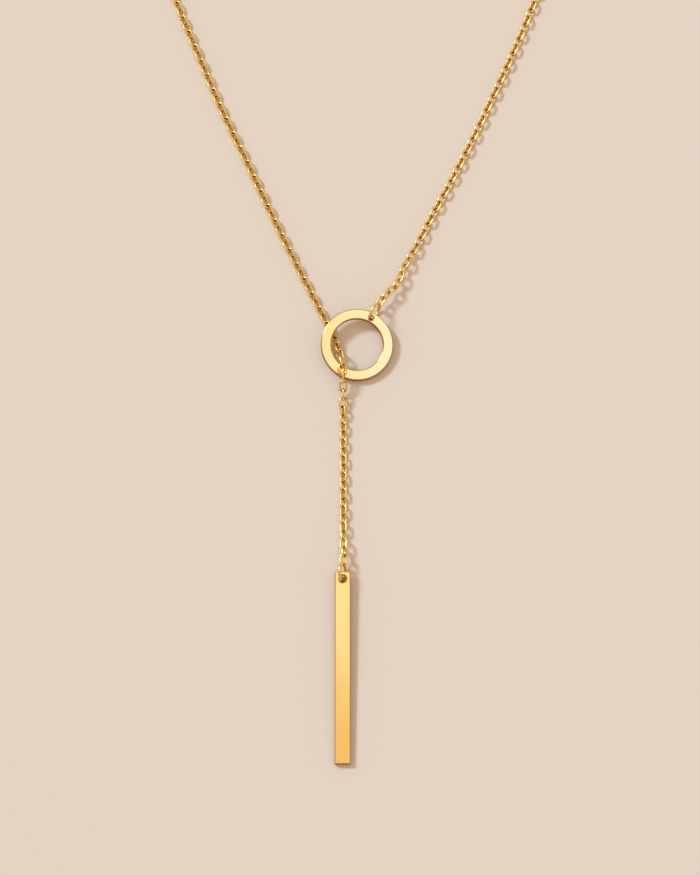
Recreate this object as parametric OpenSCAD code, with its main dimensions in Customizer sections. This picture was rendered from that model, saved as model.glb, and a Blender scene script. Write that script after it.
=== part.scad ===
// Y necklace lying on a surface: a cable chain is pulled through a flat ring and ends in a flat bar.
// Millimetres, Z up, the surface at Z = 0. The bar is at the front and the middle of the loop behind.

/* [Chain] */
// Outer length of one oval link
link_l = 2.85; // [2.7:0.05:3]
// Outer width of one oval link
link_w = 1.75; // [1.7:0.05:1.9]
// Diameter of the link's wire
link_wire = 0.44; // [0.38:0.02:0.46]
// Slack between two links that hold each other
link_play = 0.18; // [0.16:0.02:0.22]
// Turn of the links' planes from level where the chain lies
link_roll = 35; // [35:1:45]

/* [Ring] */
// Outer diameter of the flat ring
ring_d = 15; // [14:0.5:17]
// Width of the ring's flat band
ring_band_w = 2.1; // [2.05:0.05:2.4]
// Thickness of the ring
ring_t = 1.2; // [1:0.1:1.4]
// Diameter of the eye drilled through the ring's band
ring_eye_d = 1.4; // [1.35:0.05:1.5]
// Distance from the ring's outer edge to the middle of the eye
ring_eye_inset = 1.2; // [1.1:0.05:1.25]
// Direction of the eye, anticlockwise from +X
ring_eye_angle = 63; // [50:1:75]
// Tilt of the ring, which leans on the chain that passes under it
ring_tilt = 7.25; // [6.5:0.25:8.5]
// Direction in which the ring rises, anticlockwise from +X
ring_rise_angle = 122; // [116:1:128]

/* [Bar] */
// Length of the bar
bar_l = 39; // [30:1:50]
// Width of the bar
bar_w = 3.2; // [2.8:0.1:4]
// Thickness of the bar
bar_t = 1.2; // [1:0.1:1.4]
// Diameter of the hole near the bar's top
bar_hole_d = 1.8; // [1.6:0.1:1.9]
// Distance from the bar's top end to the middle of the hole
bar_hole_inset = 1.55; // [1.4:0.05:1.8]
// Height of the bar's underside at its hole, where the jump ring lifts it
bar_lift = 0.75; // [0.7:0.05:0.9]
// Distance from the ring's centre forward to the bar's hole
drop_l = 49.5; // [45:0.5:60]
// Distance from the ring's centre left to the bar's centre line
drop_offset = 2.9; // [2.5:0.05:3.4]

/* [Jump rings] */
// Outer diameter of each jump ring
jump_d = 4.2; // [4:0.1:4.4]
// Diameter of the jump rings' wire
jump_wire = 0.55; // [0.45:0.05:0.55]
// Direction in which the chain leaves the ring's jump ring, anticlockwise from +X
ring_pull_angle = 60; // [56:1:64]
// Direction in which the chain leaves the bar's jump ring, anticlockwise from +X
bar_pull_angle = 84; // [80:1:90]
// Angle between the ring's jump ring and the surface
ring_jump_lean = 77; // [74:1:80]
// Angle between the bar's jump ring and the surface
bar_jump_lean = 72; // [70:1:74]

/* [Finish] */
// Bevel along the edges of the ring and the bar
edge_bevel = 0.15; // [0.1:0.05:0.25]
// Clearance between pieces that rest on or hold each other
clearance = 0.1; // [0.1:0.02:0.16]

/* [Hidden] */

gold = "#e9c27c";
bright_gold = "#f3d08a";
chain_gold = "#d9ab5f";
$fn = 64;

// The chain's middle line, as [x, y, height of its underside] from the ring's centre.
// Right side, from the jump ring up to the end of the stretch in front
right_side = [
    [8.1, 12.6, 1.1],
    [9.95, 16.9, 0.65],
    [12.7, 21.9, 0.2],
    [15.4, 27.4, 0],
    [19.6, 35.4, 0],
    [24.9, 46.1, 0],
    [29.9, 57.0, 0],
    [34.7, 67.9, 0],
    [39.1, 79.0, 0],
];
// Round the neck, from the right end of that stretch to the left one
behind = [
    [51.0, 106.5, 0],
    [55.5, 128.5, 0],
    [48.0, 156.0, 0],
    [27.8, 176.0, 0],
    [0, 183.3, 0],
    [-27.8, 176.0, 0],
    [-48.0, 156.0, 0],
    [-55.5, 128.5, 0],
    [-51.0, 106.5, 0],
];
// Left side, from that end down to the ring
left_side = [
    [-39.5, 79.0, 0],
    [-37.4, 73.4, 0],
    [-32.9, 62.4, 0],
    [-28.4, 51.5, 0],
    [-23.4, 40.8, 0],
    [-18.5, 30.0, 0],
    [-13.5, 19.5, 0],
    [-9.6, 11.6, 0],
];
// Under the ring's left rim, up through its opening and over its front rim: x and y as shares of
// the ring's radius, and the height as a share of the height on the front rim
through_ring = [
    [-0.88, 0.75, 0],
    [-0.81, 0.61, 0],
    [-0.67, 0.32, 0],
    [-0.56, 0.03, 0.16],
    [-0.48, -0.24, 0.61],
    [-0.42, -0.51, 0.96],
    [-0.39, -0.76, 1],
    [-0.38, -1.01, 0.85],
    [-0.375, -1.28, 0.45],
];
// The place in that list where the chain crosses the front rim
rim_row = 6;
// Drop, from the ring to the bar's jump ring: distance right of the bar's centre line, distance forward
// as a share of the drop's length, and height
drop = [
    [0.1, 0.24, 0.6],
    [0.1, 0.32, 0.15],
    [0.15, 0.4, 0],
    [0.15, 0.68, 0],
    [0.15, 0.77, 0.3],
    [0.17, 0.86, 0.95],
];
// Height of the chain's underside above the ring where it crosses the front rim
rim_gap = 0.6;

// Lengths along one link and the room that two links take
link_bend_r = (link_w - link_wire) / 2;
link_straight = link_l - link_w;
link_reach = (link_l - link_wire) / 2;
pitch = link_l - 2 * link_wire - link_play;
// Half the height and half the width of the chain where it lies
chain_half = link_bend_r * sin(link_roll) + link_wire / 2;
chain_half_w = link_bend_r * cos(link_roll) + link_wire / 2;

ring_r = ring_d / 2;
ring_eye_r = ring_r - ring_eye_inset;
jump_r = (jump_d - jump_wire) / 2;
// Distance from a jump ring's middle to the middle of the link that it holds
jump_to_link = jump_r - jump_wire / 2 - link_wire / 2 - clearance + link_reach;

up = [0, 0, 1];
function unit(v) = v / norm(v);
function direction(angle) = [cos(angle), sin(angle), 0];
function left_of(v) = cross(up, v);
function last(list) = list[len(list) - 1];

// Height of the ring's underside at its centre, with its lowest point on the surface
ring_height = ring_r * sin(ring_tilt);
// A point of the ring as it would lie flat, moved to where the tilted ring holds it
function on_ring(p) =
    let (rise = direction(ring_rise_angle), level = left_of(rise))
    let (uphill = rise * cos(ring_tilt) + up * sin(ring_tilt))
    uphill * (p * rise) + level * (p * level) + cross(uphill, level) * p[2] + up * ring_height;

ring_eye = on_ring(direction(ring_eye_angle) * ring_eye_r + up * ring_t / 2);
bar_eye = [-drop_offset, -drop_l, bar_lift + bar_t / 2];
bar_tilt = asin(bar_lift / (bar_l - bar_hole_inset));

// Middle of a jump ring that stands on the surface, leans and passes through a hole of a plate
function jump_centre(eye, pull, lean, plate_t) =
    let (height = jump_r * sin(lean) + jump_wire / 2)
    let (off = (eye[2] - height) / sin(lean), half = plate_t / 2 / sin(lean))
    let (high = sqrt(jump_r ^ 2 - (off + half) ^ 2), low = sqrt(jump_r ^ 2 - (off - half) ^ 2))
    let (reach = min(high, low) + abs(high - low) / 4)
    let (across = left_of(pull) * off * cos(lean))
    [eye[0], eye[1], 0] + pull * reach - across + up * height;

ring_pull = direction(ring_pull_angle);
bar_pull = direction(bar_pull_angle);
ring_jump_centre = jump_centre(ring_eye, ring_pull, ring_jump_lean, ring_t);
bar_jump_centre = jump_centre(bar_eye, bar_pull, bar_jump_lean, bar_t);

// The whole middle line, from the first link to the last one
rim_point = through_ring[rim_row] * ring_r;
rim_height = on_ring([rim_point[0], rim_point[1], ring_t])[2] + rim_gap;
first_link = ring_jump_centre + ring_pull * jump_to_link;
last_link = bar_jump_centre + bar_pull * jump_to_link;
function lifted(rows) = [for (p = rows) [p[0], p[1], p[2] + chain_half]];
points = concat(
    [first_link - ring_pull * pitch / 2, first_link + ring_pull * pitch / 2],
    lifted(right_side),
    lifted(behind),
    lifted(left_side),
    lifted([for (p = through_ring) [p[0] * ring_r, p[1] * ring_r, p[2] * rim_height]]),
    lifted([for (p = drop) [p[0] - drop_offset, -p[1] * drop_l, p[2]]]),
    [last_link + bar_pull * pitch / 2, last_link - bar_pull * pitch / 2]
);
right_end_row = 1 + len(right_side);
left_end_row = right_end_row + len(behind) + 1;
rim_point_row = left_end_row + len(left_side) + rim_row;

// A smooth curve through the points, its heading at each one weighed by the spans beside it
steps = 12;
function heading(i) =
    let (before = points[i] - points[max(i - 1, 0)], after = points[min(i + 1, len(points) - 1)] - points[i])
    i == 0 ? unit(after)
    : i == len(points) - 1 ? unit(before)
    : unit(unit(before) * norm(after) + unit(after) * norm(before));
function between(i, t) =
    let (span = norm(points[i + 1] - points[i]))
    points[i] * (2 * t ^ 3 - 3 * t ^ 2 + 1) + heading(i) * span * (t ^ 3 - 2 * t ^ 2 + t)
    + points[i + 1] * (3 * t ^ 2 - 2 * t ^ 3) + heading(i + 1) * span * (t ^ 3 - t ^ 2);
function above_surface(p) = [p[0], p[1], max(p[2], chain_half)];
line = concat(
    [for (i = [0:len(points) - 2]) for (k = [0:steps - 1]) above_surface(between(i, k / steps))],
    [last(points)]
);
line_s = [
    for (
        i = 0, s = 0;
        i < len(line);
        s = s + (i < len(line) - 1 ? norm(line[i + 1] - line[i]) : 0), i = i + 1
    ) s
];
line_table = [for (axis = [0:2]) [for (i = [0:len(line) - 1]) [line_s[i], line[i][axis]]]];
function at(s) = [for (axis = [0:2]) lookup(s, line_table[axis])];

start_s = pitch / 2;
right_end_s = line_s[right_end_row * steps];
left_end_s = line_s[left_end_row * steps];
rim_s = line_s[rim_point_row * steps];
end_s = last(line_s) - pitch / 2;

// Turns of every other link's plane and of those between, at lengths along the chain: flat and upright on
// the front rim, rolled either way where it lies, and square to the jump ring at each end
turn_table = [
    [start_s, ring_jump_lean - 90, ring_jump_lean],
    [start_s + 6 * pitch, -link_roll, link_roll],
    [right_end_s, -link_roll, link_roll],
    [left_end_s, link_roll, 180 - link_roll],
    [rim_s - 4 * pitch, link_roll, 180 - link_roll],
    [rim_s, 0, 90],
    [rim_s + 3 * pitch, 0, 90],
    [rim_s + 6 * pitch, -link_roll, link_roll],
    [end_s - 5 * pitch, -link_roll, link_roll],
    [end_s, -bar_jump_lean, 90 - bar_jump_lean],
];
function turn_at(s, kind) = lookup(s, [for (row = turn_table) [row[0], row[1 + kind]]]);

// Number of spaces between the links of a stretch: even where both end links turn alike, odd where they
// don't
function spaces(length, odd) = 2 * round((length / pitch - odd) / 2) + odd;
// Place of each link in a stretch, as a matrix whose X runs along the link and Y across it
function link_places(from, to, odd = 0, first = 0) =
    let (n = spaces(to - from, odd), step = (to - from) / n)
    [
        for (i = [first:n])
        let (s = from + i * step, a = at(s - step / 2), b = at(s + step / 2))
        let (along = unit(b - a), side = unit(left_of(along)), turn = turn_at(s, i % 2))
        let (across = side * cos(turn) + cross(along, side) * sin(turn))
        matrix(along, across, (a + b) / 2)
    ];
function matrix(x, y, p) =
    let (z = cross(x, y))
    [[x[0], y[0], z[0], p[0]], [x[1], y[1], z[1], p[1]], [x[2], y[2], z[2], p[2]], [0, 0, 0, 1]];

// The origin is in the middle of the necklace's outline, so all is moved forward from the ring's centre
loop_top = max([for (p = behind) p[1]]) + chain_half;
bar_end = drop_l + (bar_l - bar_hole_inset) * cos(bar_tilt);
module from_ring_centre() {
    translate([0, (bar_end - loop_top) / 2, 0]) children();
}

module round_wire(bend_r, wire, angle) {
    rotate_extrude(angle = angle) translate([bend_r, 0]) circle(d = wire);
}

module link() {
    for (end = [0, 180])
        rotate(end) translate([link_straight / 2, 0, 0]) rotate(-90) round_wire(link_bend_r, link_wire, 180);
    for (side = [0, 180])
        rotate(side) translate([link_straight / 2, 0, 0]) rotate([90, 0, -90])
            linear_extrude(link_straight) translate([link_bend_r, 0]) circle(d = link_wire);
}

module links(from, to, odd = 0, first = 0) {
    for (place = link_places(from, to, odd, first)) multmatrix(place) link();
}

module jump_ring(centre, pull, lean) {
    multmatrix(matrix(pull, left_of(pull) * cos(lean) + up * sin(lean), centre))
        round_wire(jump_r, jump_wire, 360);
}

module ring() {
    inner = ring_r - ring_band_w;
    color(bright_gold) from_ring_centre() translate([0, 0, ring_height])
        rotate(a = ring_tilt, v = -left_of(direction(ring_rise_angle)))
            difference() {
                rotate_extrude() polygon([
                    [inner + edge_bevel, 0],
                    [ring_r - edge_bevel, 0],
                    [ring_r, edge_bevel],
                    [ring_r, ring_t - edge_bevel],
                    [ring_r - edge_bevel, ring_t],
                    [inner + edge_bevel, ring_t],
                    [inner, ring_t - edge_bevel],
                    [inner, edge_bevel],
                ]);
                translate(direction(ring_eye_angle) * ring_eye_r - up)
                    cylinder(d = ring_eye_d, h = ring_t + 2);
            }
}

module ring_jump_ring() {
    color(gold) from_ring_centre() jump_ring(ring_jump_centre, ring_pull, ring_jump_lean);
}

module front_chain() {
    color(chain_gold) from_ring_centre() {
        links(start_s, right_end_s);
        links(left_end_s, rim_s);
        links(rim_s, end_s, 1, 1);
    }
}

module back_chain() {
    from = right_end_s + link_l / 2 + clearance;
    to = left_end_s - link_l / 2 - clearance;
    color(chain_gold) from_ring_centre() tube(from, to);
}

module bar_jump_ring() {
    color(gold) from_ring_centre() jump_ring(bar_jump_centre, bar_pull, bar_jump_lean);
}

module bar() {
    color(gold) from_ring_centre() translate([bar_eye[0], bar_eye[1], bar_lift]) rotate([bar_tilt, 0, 0])
        difference() {
            intersection() {
                translate([0, bar_hole_inset, 0]) rotate([90, 0, 0])
                    linear_extrude(bar_l) translate([-bar_w / 2, 0]) bevelled(bar_w, bar_t);
                translate([-bar_w / 2, bar_hole_inset - bar_l, 0]) rotate([90, 0, 90])
                    linear_extrude(bar_w) bevelled(bar_l, bar_t);
            }
            translate([0, 0, -1]) cylinder(d = bar_hole_d, h = bar_t + 2);
        }
}

// Outline of a plate's section with its edges bevelled
module bevelled(w, t) {
    polygon([
        [edge_bevel, 0],
        [w - edge_bevel, 0],
        [w, edge_bevel],
        [w, t - edge_bevel],
        [w - edge_bevel, t],
        [edge_bevel, t],
        [0, t - edge_bevel],
        [0, edge_bevel],
    ]);
}

// The chain round the neck as one closed tube with the outline of its links
tube_sides = 8;
tube_rings = 80;
module tube(from, to) {
    to_corner = 1 / cos(180 / tube_sides);
    step = (to - from) / (tube_rings - 1);
    rings = [
        for (k = [0:tube_rings - 1])
        let (s = from + k * step, along = unit(at(s + pitch) - at(s - pitch)), side = unit(left_of(along)))
        [
            for (j = [0:tube_sides - 1])
            let (angle = (j + 0.5) * 360 / tube_sides)
            let (off = side * chain_half_w * cos(angle) + cross(along, side) * chain_half * sin(angle))
            at(s) + off * to_corner
        ]
    ];
    corner = function (k, j) k * tube_sides + j % tube_sides;
    polyhedron(
        [for (ring = rings) each ring],
        concat(
            [[for (j = [0:tube_sides - 1]) corner(0, j)]],
            [
                for (k = [0:tube_rings - 2]) for (j = [0:tube_sides - 1])
                [corner(k, j), corner(k + 1, j), corner(k + 1, j + 1), corner(k, j + 1)]
            ],
            [[for (j = [tube_sides - 1:-1:0]) corner(tube_rings - 1, j)]]
        )
    );
}

ring();
ring_jump_ring();
front_chain();
back_chain();
bar_jump_ring();
bar();
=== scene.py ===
"""Looks of a Y necklace: brushed gold ring and bar, jump rings, every chain link, and a plain studio."""

import math

import bmesh
import bpy
import numpy as np
from bpy.props import FloatProperty, FloatVectorProperty, PointerProperty
from mathutils import Matrix, Vector


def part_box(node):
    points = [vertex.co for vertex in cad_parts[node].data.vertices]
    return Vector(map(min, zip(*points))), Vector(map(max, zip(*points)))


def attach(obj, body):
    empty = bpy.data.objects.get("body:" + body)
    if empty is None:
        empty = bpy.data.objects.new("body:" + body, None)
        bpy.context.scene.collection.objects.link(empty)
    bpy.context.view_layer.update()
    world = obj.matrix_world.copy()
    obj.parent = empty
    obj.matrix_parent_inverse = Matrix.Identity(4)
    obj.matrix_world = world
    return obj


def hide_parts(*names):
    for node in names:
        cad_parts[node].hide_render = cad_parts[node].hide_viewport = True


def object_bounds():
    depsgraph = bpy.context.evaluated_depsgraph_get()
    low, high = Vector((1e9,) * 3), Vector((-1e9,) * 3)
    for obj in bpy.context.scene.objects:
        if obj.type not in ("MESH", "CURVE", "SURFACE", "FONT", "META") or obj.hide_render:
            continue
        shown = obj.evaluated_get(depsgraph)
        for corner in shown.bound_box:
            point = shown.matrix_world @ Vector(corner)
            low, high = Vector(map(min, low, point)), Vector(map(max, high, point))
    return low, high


bl_info = {
    "name": "Y Necklace",
    "version": (1, 0, 0),
    "blender": (4, 5, 0),
    "location": "View3D > Sidebar > Y Necklace",
    "description": "Dresses a cable chain that is pulled through a flat ring and ends in a flat bar",
    "category": "Add Mesh",
}

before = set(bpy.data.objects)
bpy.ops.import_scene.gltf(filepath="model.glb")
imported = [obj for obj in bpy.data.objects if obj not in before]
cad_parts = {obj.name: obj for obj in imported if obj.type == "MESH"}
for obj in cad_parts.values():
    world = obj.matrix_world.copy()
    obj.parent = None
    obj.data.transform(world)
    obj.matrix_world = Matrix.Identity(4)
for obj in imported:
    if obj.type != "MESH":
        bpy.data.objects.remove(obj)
CAD_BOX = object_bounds()
MM = 0.001

# The chain's middle line, as [x, y, height of its underside] in millimetres from the ring's centre.
# Right side, from the jump ring up to the end of the stretch in front
RIGHT_SIDE = [
    [8.1, 12.6, 1.1],
    [9.95, 16.9, 0.65],
    [12.7, 21.9, 0.2],
    [15.4, 27.4, 0],
    [19.6, 35.4, 0],
    [24.9, 46.1, 0],
    [29.9, 57.0, 0],
    [34.7, 67.9, 0],
    [39.1, 79.0, 0],
]
# Round the neck, from the right end of that stretch to the left one
BEHIND = [
    [51.0, 106.5, 0],
    [55.5, 128.5, 0],
    [48.0, 156.0, 0],
    [27.8, 176.0, 0],
    [0, 183.3, 0],
    [-27.8, 176.0, 0],
    [-48.0, 156.0, 0],
    [-55.5, 128.5, 0],
    [-51.0, 106.5, 0],
]
# Left side, from that end down to the ring
LEFT_SIDE = [
    [-39.5, 79.0, 0],
    [-37.4, 73.4, 0],
    [-32.9, 62.4, 0],
    [-28.4, 51.5, 0],
    [-23.4, 40.8, 0],
    [-18.5, 30.0, 0],
    [-13.5, 19.5, 0],
    [-9.6, 11.6, 0],
]
# Under the ring's left rim, up through its opening and over its front rim: x and y as shares of the
# ring's radius, and the height as a share of the height on the front rim
THROUGH_RING = [
    [-0.88, 0.75, 0],
    [-0.81, 0.61, 0],
    [-0.67, 0.32, 0],
    [-0.56, 0.03, 0.16],
    [-0.48, -0.24, 0.61],
    [-0.42, -0.51, 0.96],
    [-0.39, -0.76, 1],
    [-0.38, -1.01, 0.85],
    [-0.375, -1.28, 0.45],
]
# The place in that list where the chain crosses the front rim
RIM_ROW = 6
# Drop, from the ring to the bar's jump ring: distance right of the bar's centre line, distance forward as a
# share of the drop's length, and height
DROP = [
    [0.1, 0.24, 0.6],
    [0.1, 0.32, 0.15],
    [0.15, 0.4, 0],
    [0.15, 0.68, 0],
    [0.15, 0.77, 0.3],
    [0.17, 0.86, 0.95],
]
RIM_GAP = 0.6 * MM
CLEARANCE = 0.1 * MM

# How the pieces lie: the ring leans on the chain under it, and each jump ring leans and lifts its plate
RING_TILT = math.radians(7.25)
RING_RISE_ANGLE = math.radians(122)
RING_EYE_ANGLE = math.radians(63)
RING_PULL_ANGLE = math.radians(60)
RING_JUMP_LEAN = math.radians(77)
BAR_PULL_ANGLE = math.radians(84)
BAR_JUMP_LEAN = math.radians(72)
BAR_LIFT = 0.75 * MM
DROP_LENGTH = 49.5 * MM
DROP_OFFSET = 2.9 * MM
# What the camera looks at, from the ring's centre
AIM_POINT = Vector((-1.41, -19.49, 0)) * MM
# The floor lies this far under the necklace, and reaches this many metres to each side
FLOOR_GAP = 0.02 * MM
FLOOR_REACH = 12
UP = Vector((0, 0, 1))


def to_linear(hex_colour):
    """Linear red, green and blue of an sRGB hex colour."""
    shares = [int(hex_colour[i:i + 2], 16) / 255 for i in (1, 3, 5)]
    return [c / 12.92 if c <= 0.04045 else ((c + 0.055) / 1.055) ** 2.4 for c in shares]


def length(name, description, millimetres):
    """A property that holds a length, with its default in millimetres."""
    return FloatProperty(
        name=name, description=description, default=millimetres * MM, min=0, precision=5,
        subtype="DISTANCE", unit="LENGTH",
    )


def colour(name, description, hex_colour):
    """A property that holds a colour, with its default as sRGB hex."""
    return FloatVectorProperty(
        name=name, description=description, default=to_linear(hex_colour), size=3, min=0, max=1,
        subtype="COLOR",
    )


def share(name, description, default):
    """A property that holds a number from 0 to 1."""
    return FloatProperty(name=name, description=description, default=default, min=0, max=1, subtype="FACTOR")


class NecklaceSizes(bpy.types.PropertyGroup):
    """Sizes of the necklace's pieces, the same as the solids that they dress"""

    link_length: length("Link length", "Outer length of one oval link", 2.85)
    link_width: length("Link width", "Outer width of one oval link", 1.75)
    link_wire: length("Link wire", "Diameter of the links' wire", 0.44)
    link_play: length("Link play", "Slack between two links that hold each other", 0.18)
    link_roll: FloatProperty(
        name="Link roll", description="Turn of the links' planes from level where the chain lies",
        default=math.radians(35), subtype="ANGLE", unit="ROTATION",
    )
    ring_diameter: length("Ring diameter", "Outer diameter of the flat ring", 15)
    ring_band: length("Ring band", "Width of the ring's flat band", 2.1)
    ring_thickness: length("Ring thickness", "Thickness of the ring", 1.2)
    eye_diameter: length("Eye diameter", "Diameter of the eye in the ring's band", 1.4)
    eye_inset: length("Eye inset", "Distance from the ring's outer edge to the middle of the eye", 1.2)
    bar_length: length("Bar length", "Length of the bar", 39)
    bar_width: length("Bar width", "Width of the bar", 3.2)
    bar_thickness: length("Bar thickness", "Thickness of the bar", 1.2)
    hole_diameter: length("Hole diameter", "Diameter of the hole near the bar's top", 1.8)
    hole_inset: length("Hole inset", "Distance from the bar's top end to the middle of the hole", 1.55)
    jump_diameter: length("Jump ring diameter", "Outer diameter of each jump ring", 4.2)
    jump_wire: length("Jump ring wire", "Diameter of the jump rings' wire", 0.55)
    edge_radius: length("Edge radius", "Rounding along the outer edges of the ring and the bar", 0.2)
    hole_edge_radius: length("Hole edge radius", "Rounding along the edges of the drilled holes", 0.06)


class NecklaceFinish(bpy.types.PropertyGroup):
    """Colours and polish of the gold"""

    plate_gold: colour("Plate gold", "Brushed gold of the ring and the bar", "#FADB96")
    plate_shade: colour("Plate shade", "Deeper gold in the soft patches of the plates", "#F6D088")
    # Painted shade: a deep gold that darkens the cut walls and the rounded edges
    wall_gold: colour("Wall gold", "Deep gold of the plates' cut walls", "#9C5E12")
    wire_gold: colour("Wire gold", "Bright gold of the chain and the jump rings", "#FFD97E")
    # Painted shade: a dark gold inside the links' bends, where links hold each other
    wire_shade: colour("Wire shade", "Darker gold where two links rub", "#8C4E08")
    plate_roughness: share("Plate roughness", "Roughness of the brushed plates", 0.1)
    wall_roughness: share("Wall roughness", "Roughness of the plates' cut walls", 0.45)
    wire_roughness: share("Wire roughness", "Roughness of the barrel-polished wire", 0.3)


class NecklaceStudio(bpy.types.PropertyGroup):
    """Floor, light and camera"""

    floor_colour: colour("Floor colour", "Plain pale floor", "#EBDAC8")
    sun_colour: colour("Sun colour", "Cool light from the upper left", "#C4E2FF")
    sky_colour: colour("Sky colour", "Soft warm light from all round", "#FBE4CB")
    sun_strength: FloatProperty(name="Sun strength", description="Strength of the sun", default=2.35, min=0)
    sun_spread: FloatProperty(
        name="Sun spread", description="Angle across the sun, which softens the shadows' edges",
        default=math.radians(12), subtype="ANGLE", unit="ROTATION",
    )
    sky_strength: share("Sky strength", "Strength of the light from all round", 0.65)
    camera_distance: length("Camera distance", "Distance from the camera to what it looks at", 550)
    camera_elevation: FloatProperty(
        name="Camera elevation", description="Angle of the camera above the floor",
        default=math.radians(76), subtype="ANGLE", unit="ROTATION",
    )
    focal_length: FloatProperty(
        name="Focal length", description="The camera's focal length, in millimetres on a 36 mm sensor",
        default=109.7, min=1, subtype="DISTANCE_CAMERA",
    )


def direction(angle):
    """Level unit vector at an angle from +X, anticlockwise."""
    return Vector((math.cos(angle), math.sin(angle), 0))


def left_of(vector):
    """Level vector to the left of another, as long as it is steep."""
    return UP.cross(vector)


def frame_of(along, across, place):
    """Matrix whose X runs along, whose Y runs across and whose origin is the place."""
    made = Matrix((along, across, along.cross(across))).transposed().to_4x4()
    made.translation = place
    return made


def bar_tilt(sizes):
    """Angle at which the bar lies, on its far end and on the jump ring."""
    return math.asin(BAR_LIFT / (sizes.bar_length - sizes.hole_inset))


def ring_centre(sizes):
    """Where the ring's centre stands on the floor, worked out from the bar's end in the frame."""
    reach = DROP_LENGTH + (sizes.bar_length - sizes.hole_inset) * math.cos(bar_tilt(sizes))
    return Vector((0, CAD_BOX[0].y + reach, 0))


def ring_matrix(sizes):
    """Place of the ring, from one that lies flat at the origin."""
    lowest = sizes.ring_diameter / 2 * math.sin(RING_TILT)
    lean = Matrix.Rotation(RING_TILT, 4, -left_of(direction(RING_RISE_ANGLE)))
    return Matrix.Translation(ring_centre(sizes) + UP * lowest) @ lean


def bar_matrix(sizes):
    """Place of the bar, from one that lies flat with its hole at the origin."""
    hole = ring_centre(sizes) + Vector((-DROP_OFFSET, -DROP_LENGTH, BAR_LIFT))
    return Matrix.Translation(hole) @ Matrix.Rotation(bar_tilt(sizes), 4, "X")


def middle_of(node):
    """Middle of a node's box in the frame."""
    low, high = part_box(node)
    return (low + high) / 2


def link_pitch(sizes):
    """Distance from one link's middle to the next one's, in a chain drawn straight."""
    return sizes.link_length - 2 * sizes.link_wire - sizes.link_play


def link_bend(sizes):
    """Radius of the link's round ends, to the middle of its wire."""
    return (sizes.link_width - sizes.link_wire) / 2


def chain_half(sizes):
    """Half the height of the chain where it lies."""
    return link_bend(sizes) * math.sin(sizes.link_roll) + sizes.link_wire / 2


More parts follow.
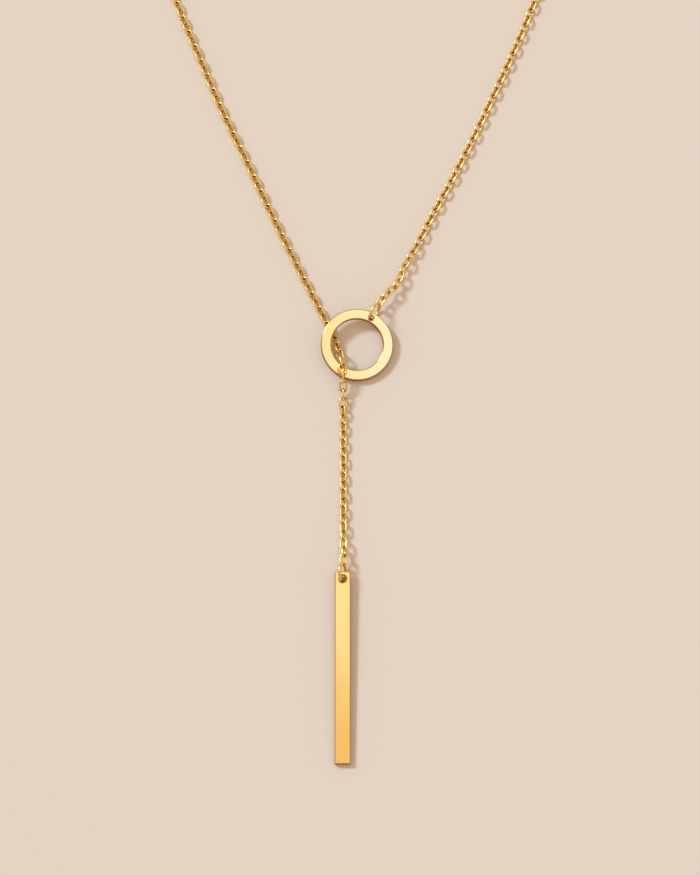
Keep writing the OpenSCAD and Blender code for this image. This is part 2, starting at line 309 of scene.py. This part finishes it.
class Route:
    """The chain's middle line: a smooth curve through listed points, and the lengths along it."""

    STEPS = 12

    def __init__(self, sizes):
        self.pitch = link_pitch(sizes)
        self.half = chain_half(sizes)
        points, rows = self.points(sizes)
        self.line = self.smooth(points)
        spans = np.linalg.norm(np.diff(self.line, axis=0), axis=1)
        self.lengths = np.concatenate([[0], np.cumsum(spans)])
        self.start = self.pitch / 2
        self.end = self.lengths[-1] - self.pitch / 2
        self.right_end, self.left_end, self.rim = (self.lengths[row * self.STEPS] for row in rows)

    def points(self, sizes):
        """The route's points in the frame, and the rows of its two hidden ends and of the front rim."""
        centre = ring_centre(sizes)
        radius = sizes.ring_diameter / 2
        x, y = (fraction * radius for fraction in THROUGH_RING[RIM_ROW][:2])
        rise = direction(RING_RISE_ANGLE)
        uphill = rise * math.cos(RING_TILT) + UP * math.sin(RING_TILT)
        level = left_of(rise)
        flat = Vector((x, y, 0))
        on_rim = uphill * flat.dot(rise) + level * flat.dot(level)
        on_rim += uphill.cross(level) * sizes.ring_thickness
        rim_height = on_rim.z + radius * math.sin(RING_TILT) + RIM_GAP

        reach = (sizes.jump_diameter - sizes.jump_wire) / 2 - sizes.jump_wire / 2 - sizes.link_wire / 2
        reach += (sizes.link_length - sizes.link_wire) / 2 - CLEARANCE
        ring_pull, bar_pull = direction(RING_PULL_ANGLE), direction(BAR_PULL_ANGLE)
        first = middle_of("ring_jump_ring") + ring_pull * reach
        last = middle_of("bar_jump_ring") + bar_pull * reach
        half_space = self.pitch / 2

        listed = [Vector(p) * MM for p in RIGHT_SIDE + BEHIND + LEFT_SIDE]
        listed += [Vector((p[0] * radius, p[1] * radius, p[2] * rim_height)) for p in THROUGH_RING]
        listed += [Vector((p[0] * MM - DROP_OFFSET, -p[1] * DROP_LENGTH, p[2] * MM)) for p in DROP]
        points = [first - ring_pull * half_space, first + ring_pull * half_space]
        points += [centre + p + UP * self.half for p in listed]
        points += [last + bar_pull * half_space, last - bar_pull * half_space]
        right_end = 1 + len(RIGHT_SIDE)
        left_end = right_end + len(BEHIND) + 1
        return np.array(points), (right_end, left_end, left_end + len(LEFT_SIDE) + RIM_ROW)

    def smooth(self, points):
        """Close points on a curve whose heading at each point is weighed by the spans beside it."""
        spans = np.diff(points, axis=0)
        long = np.linalg.norm(spans, axis=1, keepdims=True)
        units = spans / long
        headings = np.vstack([units[:1], units[:-1] * long[1:] + units[1:] * long[:-1], units[-1:]])
        headings /= np.linalg.norm(headings, axis=1, keepdims=True)
        curve = []
        for k in range(self.STEPS):
            t = k / self.STEPS
            curve.append(
                points[:-1] * (2 * t**3 - 3 * t**2 + 1) + headings[:-1] * long * (t**3 - 2 * t**2 + t)
                + points[1:] * (3 * t**2 - 2 * t**3) + headings[1:] * long * (t**3 - t**2)
            )
        line = np.stack(curve, axis=1).reshape(-1, 3)
        line = np.vstack([line, points[-1:]])
        line[:, 2] = np.maximum(line[:, 2], self.half)
        return line

    def at(self, length_along):
        """Point of the middle line at a length along it."""
        return Vector([np.interp(length_along, self.lengths, self.line[:, axis]) for axis in range(3)])

    def places(self, start, stop, odd, turns):
        """Matrix of each link from start to stop, whose X runs along the link and whose Y runs across it.
        The number of spaces is even where both end links turn alike, and odd where they don't."""
        spaces = 2 * math.floor(((stop - start) / self.pitch - odd) / 2 + 0.5) + odd
        step = (stop - start) / spaces
        made = []
        for i in range(spaces + 1):
            middle = start + i * step
            before, after = self.at(middle - step / 2), self.at(middle + step / 2)
            along = (after - before).normalized()
            side = left_of(along).normalized()
            roll = turns(middle)[i % 2]
            across = side * math.cos(roll) + along.cross(side) * math.sin(roll)
            made.append(frame_of(along, across, (before + after) / 2))
        return made

    def turns(self, sizes):
        """Function that gives the turns of every other link's plane and of those between, at a length
        along the chain: flat and upright on the front rim, rolled either way where it lies, and square to
        the jump ring at each end."""
        roll, square, half = sizes.link_roll, math.radians(90), math.radians(180)
        table = [
            (self.start, RING_JUMP_LEAN - square, RING_JUMP_LEAN),
            (self.start + 6 * self.pitch, -roll, roll),
            (self.right_end, -roll, roll),
            (self.left_end, roll, half - roll),
            (self.rim - 4 * self.pitch, roll, half - roll),
            (self.rim, 0, square),
            (self.rim + 3 * self.pitch, 0, square),
            (self.rim + 6 * self.pitch, -roll, roll),
            (self.end - 5 * self.pitch, -roll, roll),
            (self.end, -BAR_JUMP_LEAN, square - BAR_JUMP_LEAN),
        ]
        lengths, *columns = zip(*table)
        return lambda length_along: [float(np.interp(length_along, lengths, column)) for column in columns]


def add_node(tree, kind, inputs=None, **settings):
    """Adds a node with its settings, and sets each input to a value or links it to a socket."""
    made = tree.nodes.new(kind)
    for name, value in settings.items():
        setattr(made, name, value)
    for name, value in (inputs or {}).items():
        if isinstance(value, bpy.types.NodeSocket):
            tree.links.new(value, made.inputs[name])
        else:
            made.inputs[name].default_value = value
    return made


def new_material(name):
    """An empty node material and its tree."""
    material = bpy.data.materials.new(name)
    material.use_nodes = True
    material.node_tree.nodes.clear()
    return material, material.node_tree


def brushed_gold_plate(finish):
    """Gold-plated brass sheet, stamped, brushed along its length and lightly tumbled."""
    material, tree = new_material("brushed_gold_plate")
    point = add_node(tree, "ShaderNodeTexCoord").outputs["Object"]
    # Brushing leaves hairlines about 0.02 mm apart and 10 mm long. They are drawn 0.1 mm apart, which is as
    # fine as shows, and draw the reflections out a little across the grain.
    grain_point = add_node(
        tree, "ShaderNodeMapping",
        {"Vector": point, "Scale": (1 / (0.1 * MM), 1 / (10 * MM), 1 / (0.1 * MM))},
    )
    grain = add_node(
        tree, "ShaderNodeTexNoise",
        {"Vector": grain_point.outputs[0], "Scale": 1, "Detail": 2, "Roughness": 0.6},
    ).outputs["Fac"]
    # Handling dulls the polish in soft patches about 5 mm across
    patches = add_node(
        tree, "ShaderNodeTexNoise", {"Vector": point, "Scale": 1 / (5 * MM), "Detail": 1, "Roughness": 0.5}
    ).outputs["Fac"]
    gold = add_node(
        tree, "ShaderNodeMix", {0: patches, 6: (*finish.plate_gold, 1), 7: (*finish.plate_shade, 1)},
        data_type="RGBA",
    )
    # Stamping and drilling leave the cut walls rough, and tumbling dulls the edges. The walls, and the
    # rounded edges in part, are also painted a deeper gold than the brushed faces, also in the grazing light
    # that makes smooth gold pale: this is painted shade.
    cut = add_node(tree, "ShaderNodeAttribute", attribute_name="cut").outputs["Fac"]
    # Painted shade: the cut walls and rounded edges take the deep wall gold
    gold_with_painted_wall_shade = add_node(
        tree, "ShaderNodeMix", {0: cut, 6: gold.outputs[2], 7: (*finish.wall_gold, 1)}, data_type="RGBA"
    )
    polish = add_node(
        tree, "ShaderNodeMapRange",
        {"Value": grain, "From Min": 0.3, "From Max": 0.7,
         "To Min": finish.plate_roughness - 0.03, "To Max": finish.plate_roughness + 0.03},
    )
    roughness = add_node(
        tree, "ShaderNodeMix", {0: cut, 2: polish.outputs[0], 3: finish.wall_roughness}, data_type="FLOAT"
    )
    # Painted shade: the grazing reflections on the cut walls are tinted deep gold, not left pale
    grazing = add_node(
        tree, "ShaderNodeMix", {0: cut, 6: (1, 1, 1, 1), 7: (*finish.wall_gold, 1)}, data_type="RGBA"
    )
    bump = add_node(tree, "ShaderNodeBump", {"Height": grain, "Strength": 1, "Distance": 0.0015 * MM})
    shader = add_node(
        tree, "ShaderNodeBsdfPrincipled",
        {"Base Color": gold_with_painted_wall_shade.outputs[2], "Metallic": 1, "Roughness": roughness.outputs[0],
         "Specular Tint": grazing.outputs[2], "Normal": bump.outputs[0]},
    )
    add_node(tree, "ShaderNodeOutputMaterial", {"Surface": shader.outputs[0]})
    return material


def bright_gold_wire(finish):
    """Gold-plated brass wire, drawn, bent and barrel-polished: a bright gloss, never quite a mirror."""
    material, tree = new_material("bright_gold_wire")
    point = add_node(tree, "ShaderNodeTexCoord").outputs["Object"]
    # Barrel polishing leaves shallow ripples about 0.15 mm across, which break the highlights up
    ripples = add_node(
        tree, "ShaderNodeTexNoise",
        {"Vector": point, "Scale": 1 / (0.15 * MM), "Detail": 1, "Roughness": 0.5},
    ).outputs["Fac"]
    # Painted shade: the gold turns a deeper tone inside the bends, where links hold each other and shade
    # falls.
    #     # The ripples keep the grazing light golden too.
    painted_bend_shade = add_node(tree, "ShaderNodeAttribute", attribute_name="painted_bend_shade").outputs["Fac"]
    gold = add_node(
        tree, "ShaderNodeMix", {0: painted_bend_shade, 6: (*finish.wire_gold, 1), 7: (*finish.wire_shade, 1)},
        data_type="RGBA",
    )
    roughness = add_node(
        tree, "ShaderNodeMapRange",
        {"Value": ripples, "From Min": 0.3, "From Max": 0.7,
         "To Min": finish.wire_roughness - 0.04, "To Max": finish.wire_roughness + 0.04},
    )
    bump = add_node(tree, "ShaderNodeBump", {"Height": ripples, "Strength": 1, "Distance": 0.004 * MM})
    shader = add_node(
        tree, "ShaderNodeBsdfPrincipled",
        {"Base Color": gold.outputs[2], "Metallic": 1, "Roughness": roughness.outputs[0],
         "Specular Tint": (*finish.wire_gold, 1), "Normal": bump.outputs[0]},
    )
    add_node(tree, "ShaderNodeOutputMaterial", {"Surface": shader.outputs[0]})
    return material


def matt_board(studio):
    """Painted board, matt and plain."""
    material, tree = new_material("matt_board")
    shader = add_node(
        tree, "ShaderNodeBsdfPrincipled",
        {"Base Color": (*studio.floor_colour, 1), "Roughness": 0.9, "Specular IOR Level": 0.2},
    )
    add_node(tree, "ShaderNodeOutputMaterial", {"Surface": shader.outputs[0]})
    return material


def material_of(maker, settings):
    """The maker's material, made once."""
    return bpy.data.materials.get(maker.__name__) or maker(settings)


def new_piece(name, bm, material):
    """An object at the origin, made of the bmesh, which is freed."""
    mesh = bpy.data.meshes.new(name)
    bm.to_mesh(mesh)
    bm.free()
    mesh.materials.append(material)
    piece = bpy.data.objects.new(name, mesh)
    bpy.context.scene.collection.objects.link(piece)
    return piece


def stand_for(piece, node, overhang=0.05 * MM):
    """The piece rides on the part and replaces the node, whose box it may pass by the overhang at most."""
    low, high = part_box(node)
    corners = [Vector(c) for c in piece.bound_box]
    for axis in range(3):
        least, most = min(c[axis] for c in corners), max(c[axis] for c in corners)
        if least < low[axis] - overhang or most > high[axis] + overhang:
            raise RuntimeError(f"{piece.name} reaches outside the box of {node} on axis {axis}")
    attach(piece, "root")
    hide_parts(node)


def shade_smooth(bm):
    """Shades every face smooth, as on round wire."""
    for face in bm.faces:
        face.smooth = True


def shade_plate(bm):
    """Shades the rounded edges and round walls of a level plate smooth, leaves its flat sides flat, and
    marks its walls as cut, and its rounded edges in part. The same mark sets where shade is painted on them."""
    large = 1 * MM * MM
    upright, level = 0.3, 0.999
    cut = bm.faces.layers.float.new("cut")
    for face in bm.faces:
        facing_up = abs(face.normal.z)
        face.smooth = facing_up < level and face.calc_area() < large
        face[cut] = 1 if facing_up < upright else 0.4 if facing_up < level else 0


def add_outline_circle(bm, radius, centre, segments):
    """A round outline, as a closed loop of edges."""
    return bmesh.ops.create_circle(
        bm, cap_ends=False, segments=segments, radius=radius, matrix=Matrix.Translation(centre)
    )["verts"]


def thicken(bm, thickness):
    """Fills the outlines as one plate with holes, and gives it a thickness upwards."""
    filled = bmesh.ops.triangle_fill(bm, use_beauty=True, edges=bm.edges[:], normal=UP)
    faces = [g for g in filled["geom"] if isinstance(g, bmesh.types.BMFace)]
    raised = bmesh.ops.extrude_face_region(bm, geom=faces)["geom"]
    verts = [g for g in raised if isinstance(g, bmesh.types.BMVert)]
    bmesh.ops.translate(bm, vec=UP * thickness, verts=verts)
    bmesh.ops.recalc_face_normals(bm, faces=bm.faces[:])


def round_edges(bm, edges, radius, segments):
    """Rounds edges over, with an even width."""
    bmesh.ops.bevel(
        bm, geom=edges, offset=radius, offset_type="OFFSET", affect="EDGES", segments=segments, profile=0.5,
        material=-1, loop_slide=False, clamp_overlap=True,
    )


def rims(bm, hole, hole_diameter):
    """Level edges between the flat faces and the walls: those of the hole, and all others."""
    sharp = [e for e in bm.edges if e.calc_face_angle(0) > math.radians(60)]
    level = [e for e in sharp if abs(e.verts[0].co.z - e.verts[1].co.z) < 0.01 * MM]
    in_hole = [e for e in level if (e.verts[0].co.xy - hole.xy).length < 0.6 * hole_diameter]
    return in_hole, [e for e in level if e not in in_hole]


class NECKLACE_OT_ring(bpy.types.Operator):
    """Add the flat ring with the eye drilled through its band"""

    bl_idname = "necklace.ring"
    bl_label = "Add Ring"

    def execute(self, context):
        sizes = context.scene.necklace_sizes
        radius = sizes.ring_diameter / 2
        eye = direction(RING_EYE_ANGLE) * (radius - sizes.eye_inset)
        bm = bmesh.new()
        add_outline_circle(bm, radius, Vector(), 128)
        add_outline_circle(bm, radius - sizes.ring_band, Vector(), 96)
        add_outline_circle(bm, sizes.eye_diameter / 2, eye, 32)
        thicken(bm, sizes.ring_thickness)
        in_eye, others = rims(bm, eye, sizes.eye_diameter)
        round_edges(bm, others, sizes.edge_radius, 4)
        round_edges(bm, [e for e in in_eye if e.is_valid], sizes.hole_edge_radius, 2)
        shade_plate(bm)
        bmesh.ops.transform(bm, matrix=ring_matrix(sizes), verts=bm.verts[:])
        piece = new_piece("brushed_ring", bm, material_of(brushed_gold_plate, context.scene.necklace_finish))
        stand_for(piece, "ring")
        return {"FINISHED"}


class NECKLACE_OT_bar(bpy.types.Operator):
    """Add the long flat bar with the hole near its top"""

    bl_idname = "necklace.bar"
    bl_label = "Add Bar"

    def execute(self, context):
        sizes = context.scene.necklace_sizes
        half = sizes.bar_width / 2
        top, bottom = sizes.hole_inset, sizes.hole_inset - sizes.bar_length
        bm = bmesh.new()
        outline = ((-half, bottom, 0), (half, bottom, 0), (half, top, 0), (-half, top, 0))
        corners = [bm.verts.new(point) for point in outline]
        for k in range(len(corners)):
            bm.edges.new((corners[k - 1], corners[k]))
        add_outline_circle(bm, sizes.hole_diameter / 2, Vector(), 32)
        thicken(bm, sizes.bar_thickness)
        in_hole, others = rims(bm, Vector(), sizes.hole_diameter)
        round_edges(bm, others, sizes.edge_radius, 4)
        round_edges(bm, [e for e in in_hole if e.is_valid], sizes.hole_edge_radius, 2)
        shade_plate(bm)
        bmesh.ops.transform(bm, matrix=bar_matrix(sizes), verts=bm.verts[:])
        piece = new_piece("brushed_bar", bm, material_of(brushed_gold_plate, context.scene.necklace_finish))
        stand_for(piece, "bar")
        return {"FINISHED"}


class NECKLACE_OT_jump_rings(bpy.types.Operator):
    """Add the two round wire rings that hold the chain's ends"""

    bl_idname = "necklace.jump_rings"
    bl_label = "Add Jump Rings"

    def execute(self, context):
        sizes = context.scene.necklace_sizes
        material = material_of(bright_gold_wire, context.scene.necklace_finish)
        bend = (sizes.jump_diameter - sizes.jump_wire) / 2
        for node, pull_angle, lean in (
            ("ring_jump_ring", RING_PULL_ANGLE, RING_JUMP_LEAN),
            ("bar_jump_ring", BAR_PULL_ANGLE, BAR_JUMP_LEAN),
        ):
            pull = direction(pull_angle)
            bm = bmesh.new()
            section = Matrix.Translation((bend, 0, 0)) @ Matrix.Rotation(math.radians(90), 4, "X")
            bmesh.ops.create_circle(bm, segments=12, radius=sizes.jump_wire / 2, matrix=section)
            bmesh.ops.spin(
                bm, geom=bm.edges[:], cent=(0, 0, 0), axis=UP, angle=math.radians(360), steps=48,
                use_merge=True,
            )
            bmesh.ops.remove_doubles(bm, verts=bm.verts[:], dist=0.001 * MM)
            bmesh.ops.recalc_face_normals(bm, faces=bm.faces[:])
            shade_smooth(bm)
            across = left_of(pull) * math.cos(lean) + UP * math.sin(lean)
            bmesh.ops.transform(bm, matrix=frame_of(pull, across, middle_of(node)), verts=bm.verts[:])
            piece = new_piece(node + "_wire", bm, material)
            stand_for(piece, node)
        return {"FINISHED"}


def add_link(bm, sizes):
    """One oval link at the origin, its length along X and its width along Y, with the inside of its bends
    marked for painted shade. Its vertices are returned."""
    bend = link_bend(sizes)
    straight = sizes.link_length - sizes.link_width
    section = Matrix.Translation((straight / 2, -bend, 0)) @ Matrix.Rotation(math.radians(90), 4, "Y")
    # A little wider than the round wire, so that its six sides look as thick
    bmesh.ops.create_circle(bm, segments=6, radius=1.04 * sizes.link_wire / 2, matrix=section)
    loop = bm.edges[:]
    for side in (1, -1):
        turned = bmesh.ops.spin(
            bm, geom=loop, cent=(side * straight / 2, 0, 0), axis=UP, angle=math.radians(180), steps=5
        )["geom_last"]
        bent = [g for g in turned if isinstance(g, bmesh.types.BMEdge)]
        drawn = bmesh.ops.extrude_edge_only(bm, edges=bent)["geom"]
        loop = [g for g in drawn if isinstance(g, bmesh.types.BMEdge)]
        ends = {v for e in loop for v in e.verts}
        bmesh.ops.translate(bm, vec=(-side * straight, 0, 0), verts=list(ends))
    bmesh.ops.remove_doubles(bm, verts=bm.verts[:], dist=0.001 * MM)
    bmesh.ops.recalc_face_normals(bm, faces=bm.faces[:])
    shade_smooth(bm)
    # Marks the inside of each bend, where the next link holds it, for painted shade
    painted_bend_shade = bm.verts.layers.float.new("painted_bend_shade")
    for vert in bm.verts:
        past_straight = max(abs(vert.co.x) - straight / 2, 0)
        from_bend = math.hypot(past_straight, vert.co.y)
        inner = from_bend < bend - 0.2 * sizes.link_wire
        vert[painted_bend_shade] = min(1, past_straight / (0.5 * bend)) if inner else 0
    return bm.verts[:]


def links_piece(name, places, sizes, finish):
    """One piece with a link at each place."""
    bm = bmesh.new()
    pattern = add_link(bm, sizes)
    whole = pattern + bm.edges[:] + bm.faces[:]
    for place in places:
        copied = bmesh.ops.duplicate(bm, geom=whole)["geom"]
        verts = [g for g in copied if isinstance(g, bmesh.types.BMVert)]
        bmesh.ops.transform(bm, matrix=place, verts=verts)
    bmesh.ops.delete(bm, geom=pattern, context="VERTS")
    return new_piece(name, bm, material_of(bright_gold_wire, finish))


class NECKLACE_OT_front_chain(bpy.types.Operator):
    """Add the links of both front runs, of the pass through the ring and of the drop"""

    bl_idname = "necklace.front_chain"
    bl_label = "Add Front Chain"

    def execute(self, context):
        sizes = context.scene.necklace_sizes
        route = Route(sizes)
        turns = route.turns(sizes)
        places = route.places(route.start, route.right_end, 0, turns)
        places += route.places(route.left_end, route.rim, 0, turns)
        places += route.places(route.rim, route.end, 1, turns)[1:]
        piece = links_piece("front_chain_links", places, sizes, context.scene.necklace_finish)
        stand_for(piece, "front_chain")
        return {"FINISHED"}


class NECKLACE_OT_back_chain(bpy.types.Operator):
    """Add the links of the stretch round the neck"""

    bl_idname = "necklace.back_chain"
    bl_label = "Add Back Chain"

    def execute(self, context):
        sizes = context.scene.necklace_sizes
        route = Route(sizes)
        both_ways = (-sizes.link_roll, sizes.link_roll)
        places = route.places(route.right_end, route.left_end, 1, lambda length_along: both_ways)
        piece = links_piece("back_chain_links", places[1:-1], sizes, context.scene.necklace_finish)
        # Its end links hold the front chain's, so they reach past the tube's ends
        stand_for(piece, "back_chain", overhang=sizes.link_length)
        return {"FINISHED"}


def aim(thing, place, target):
    """Puts a camera or light at a place, looking at the target."""
    thing.location = place
    thing.rotation_euler = (target - place).to_track_quat("-Z", "Y").to_euler()


def add_softbox(name, place, turn, size, radiance):
    """A rectangular soft light that faces straight down, turned anticlockwise, as bright as the radiance
    says in red, green and blue. The camera doesn't see it."""
    light = bpy.data.lights.new(name, "AREA")
    light.shape = "RECTANGLE"
    light.size, light.size_y = size
    light.energy = math.pi * size[0] * size[1]
    light.color = radiance
    softbox = bpy.data.objects.new(name, light)
    softbox.visible_camera = False
    bpy.context.scene.collection.objects.link(softbox)
    softbox.location = place
    softbox.rotation_euler.z = turn


class NECKLACE_OT_stage(bpy.types.Operator):
    """Add the floor, the lights and the camera"""

    bl_idname = "necklace.stage"
    bl_label = "Add Stage"

    def execute(self, context):
        scene = context.scene
        studio = scene.necklace_studio
        target = ring_centre(scene.necklace_sizes) + AIM_POINT

        bm = bmesh.new()
        bmesh.ops.create_grid(bm, x_segments=1, y_segments=1, size=FLOOR_REACH)
        bmesh.ops.translate(bm, vec=(0, 0, CAD_BOX[0].z - FLOOR_GAP), verts=bm.verts[:])
        floor = new_piece("floor", bm, material_of(matt_board, studio))

        sun = bpy.data.lights.new("sun", "SUN")
        sun.energy = studio.sun_strength
        sun.color = studio.sun_colour
        sun.angle = studio.sun_spread
        sun_object = bpy.data.objects.new("sun", sun)
        scene.collection.objects.link(sun_object)
        aim(sun_object, target + Vector((-1, 0.75, 1)), target)
        # A warm softbox overhead is what the plates mirror. A daylight one under part of it leaves the
        # bar's lower end in the warm light, and a cool one under that reaches the ring's right side.
        add_softbox("warm_softbox", target + Vector((0.1, 0.1, 1.34)), 0, (1, 0.9), (0.37, 0.23, 0.03))
        corner = direction(math.radians(45))
        seam = target + Vector((0, 0.09, 1.3))
        add_softbox("daylight_softbox", seam + corner * 0.3, math.radians(45), (0.6, 1), (0.11, 0.42, 0.656))
        add_softbox("cool_softbox", target + Vector((0.325, 0.1, 1.26)), 0, (0.3, 0.5), (0, 0.2, 1))

        world = bpy.data.worlds.new("studio")
        world.use_nodes = True
        background = world.node_tree.nodes["Background"]
        background.inputs["Color"].default_value = (*studio.sky_colour, 1)
        background.inputs["Strength"].default_value = studio.sky_strength
        scene.world = world
        scene.view_settings.view_transform = "Standard"

        camera = bpy.data.objects.new("camera", bpy.data.cameras.new("camera"))
        camera.data.lens = studio.focal_length
        camera.data.clip_start = 0.01
        scene.collection.objects.link(camera)
        back = -math.cos(studio.camera_elevation)
        up = math.sin(studio.camera_elevation)
        aim(camera, target + Vector((0, back, up)) * studio.camera_distance, target)
        scene.camera = camera
        return {"FINISHED"}


class NECKLACE_PT_pieces(bpy.types.Panel):
    """Buttons that add the necklace's pieces and the stage"""

    bl_idname = "NECKLACE_PT_pieces"
    bl_label = "Y Necklace"
    bl_space_type = "VIEW_3D"
    bl_region_type = "UI"
    bl_category = "Y Necklace"

    def draw(self, context):
        for operator in OPERATORS:
            self.layout.operator(operator.bl_idname)


OPERATORS = (
    NECKLACE_OT_stage,
    NECKLACE_OT_ring,
    NECKLACE_OT_bar,
    NECKLACE_OT_jump_rings,
    NECKLACE_OT_front_chain,
    NECKLACE_OT_back_chain,
)
SETTINGS = {
    "necklace_sizes": NecklaceSizes,
    "necklace_finish": NecklaceFinish,
    "necklace_studio": NecklaceStudio,
}


def register():
    for cls in (*SETTINGS.values(), *OPERATORS, NECKLACE_PT_pieces):
        bpy.utils.register_class(cls)
    for name, group in SETTINGS.items():
        setattr(bpy.types.Scene, name, PointerProperty(type=group))


def unregister():
    for name in SETTINGS:
        delattr(bpy.types.Scene, name)
    for cls in reversed((*SETTINGS.values(), *OPERATORS, NECKLACE_PT_pieces)):
        bpy.utils.unregister_class(cls)


def main():
    register()
    bpy.ops.necklace.stage()
    bpy.ops.necklace.ring()
    bpy.ops.necklace.bar()
    bpy.ops.necklace.jump_rings()
    bpy.ops.necklace.front_chain()
    bpy.ops.necklace.back_chain()


if __name__ == "__main__":
    main()
